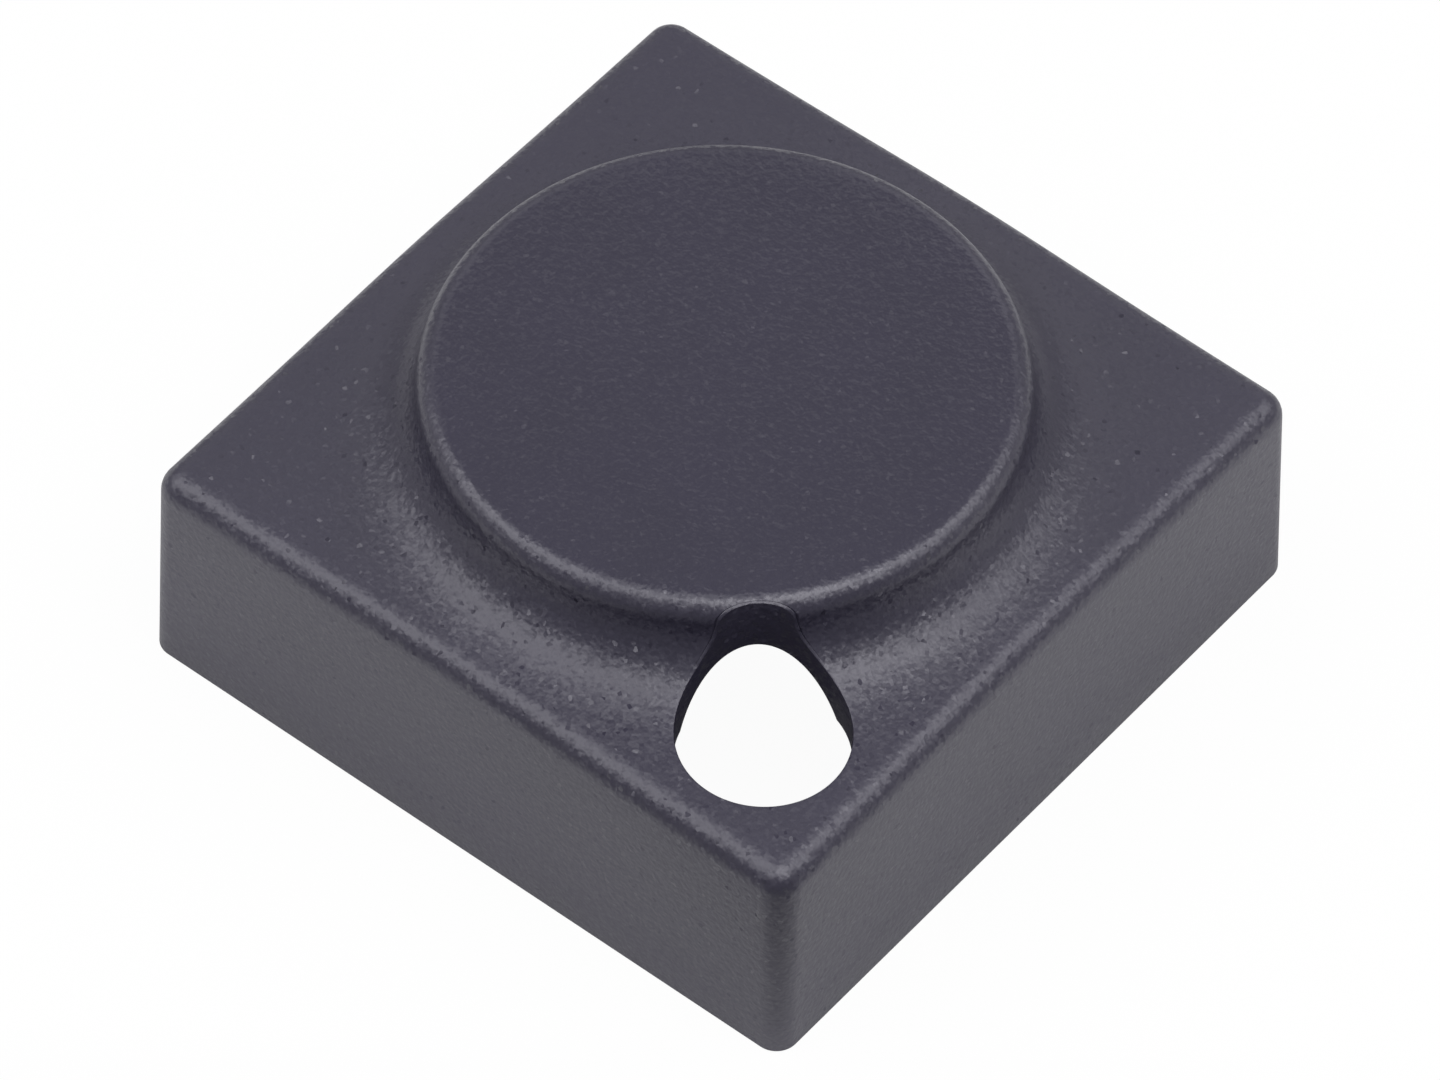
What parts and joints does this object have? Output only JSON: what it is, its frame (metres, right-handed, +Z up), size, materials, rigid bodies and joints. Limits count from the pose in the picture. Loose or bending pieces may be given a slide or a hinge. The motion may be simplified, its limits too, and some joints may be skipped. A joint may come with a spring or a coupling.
{
  "type": "push button cap",
  "caption": "Square black plastic push-button cap with a raised round top, an LED hole at one corner and a plunger socket underneath.",
  "frame": {"origin": "middle of the rim's lower face, on the axis of the plunger socket", "axes": "+Z up, the way the cap is pushed out by the switch; +X and -Y each square to a side, with the LED hole towards the corner between them"},
  "size_m": [0.015, 0.015, 0.0067],
  "materials": {
    "cap_plastic": "fine spark-eroded matt"
  },
  "bodies": {
    "root": {"button_cap": "cap_plastic"}
  },
  "joints": []
}
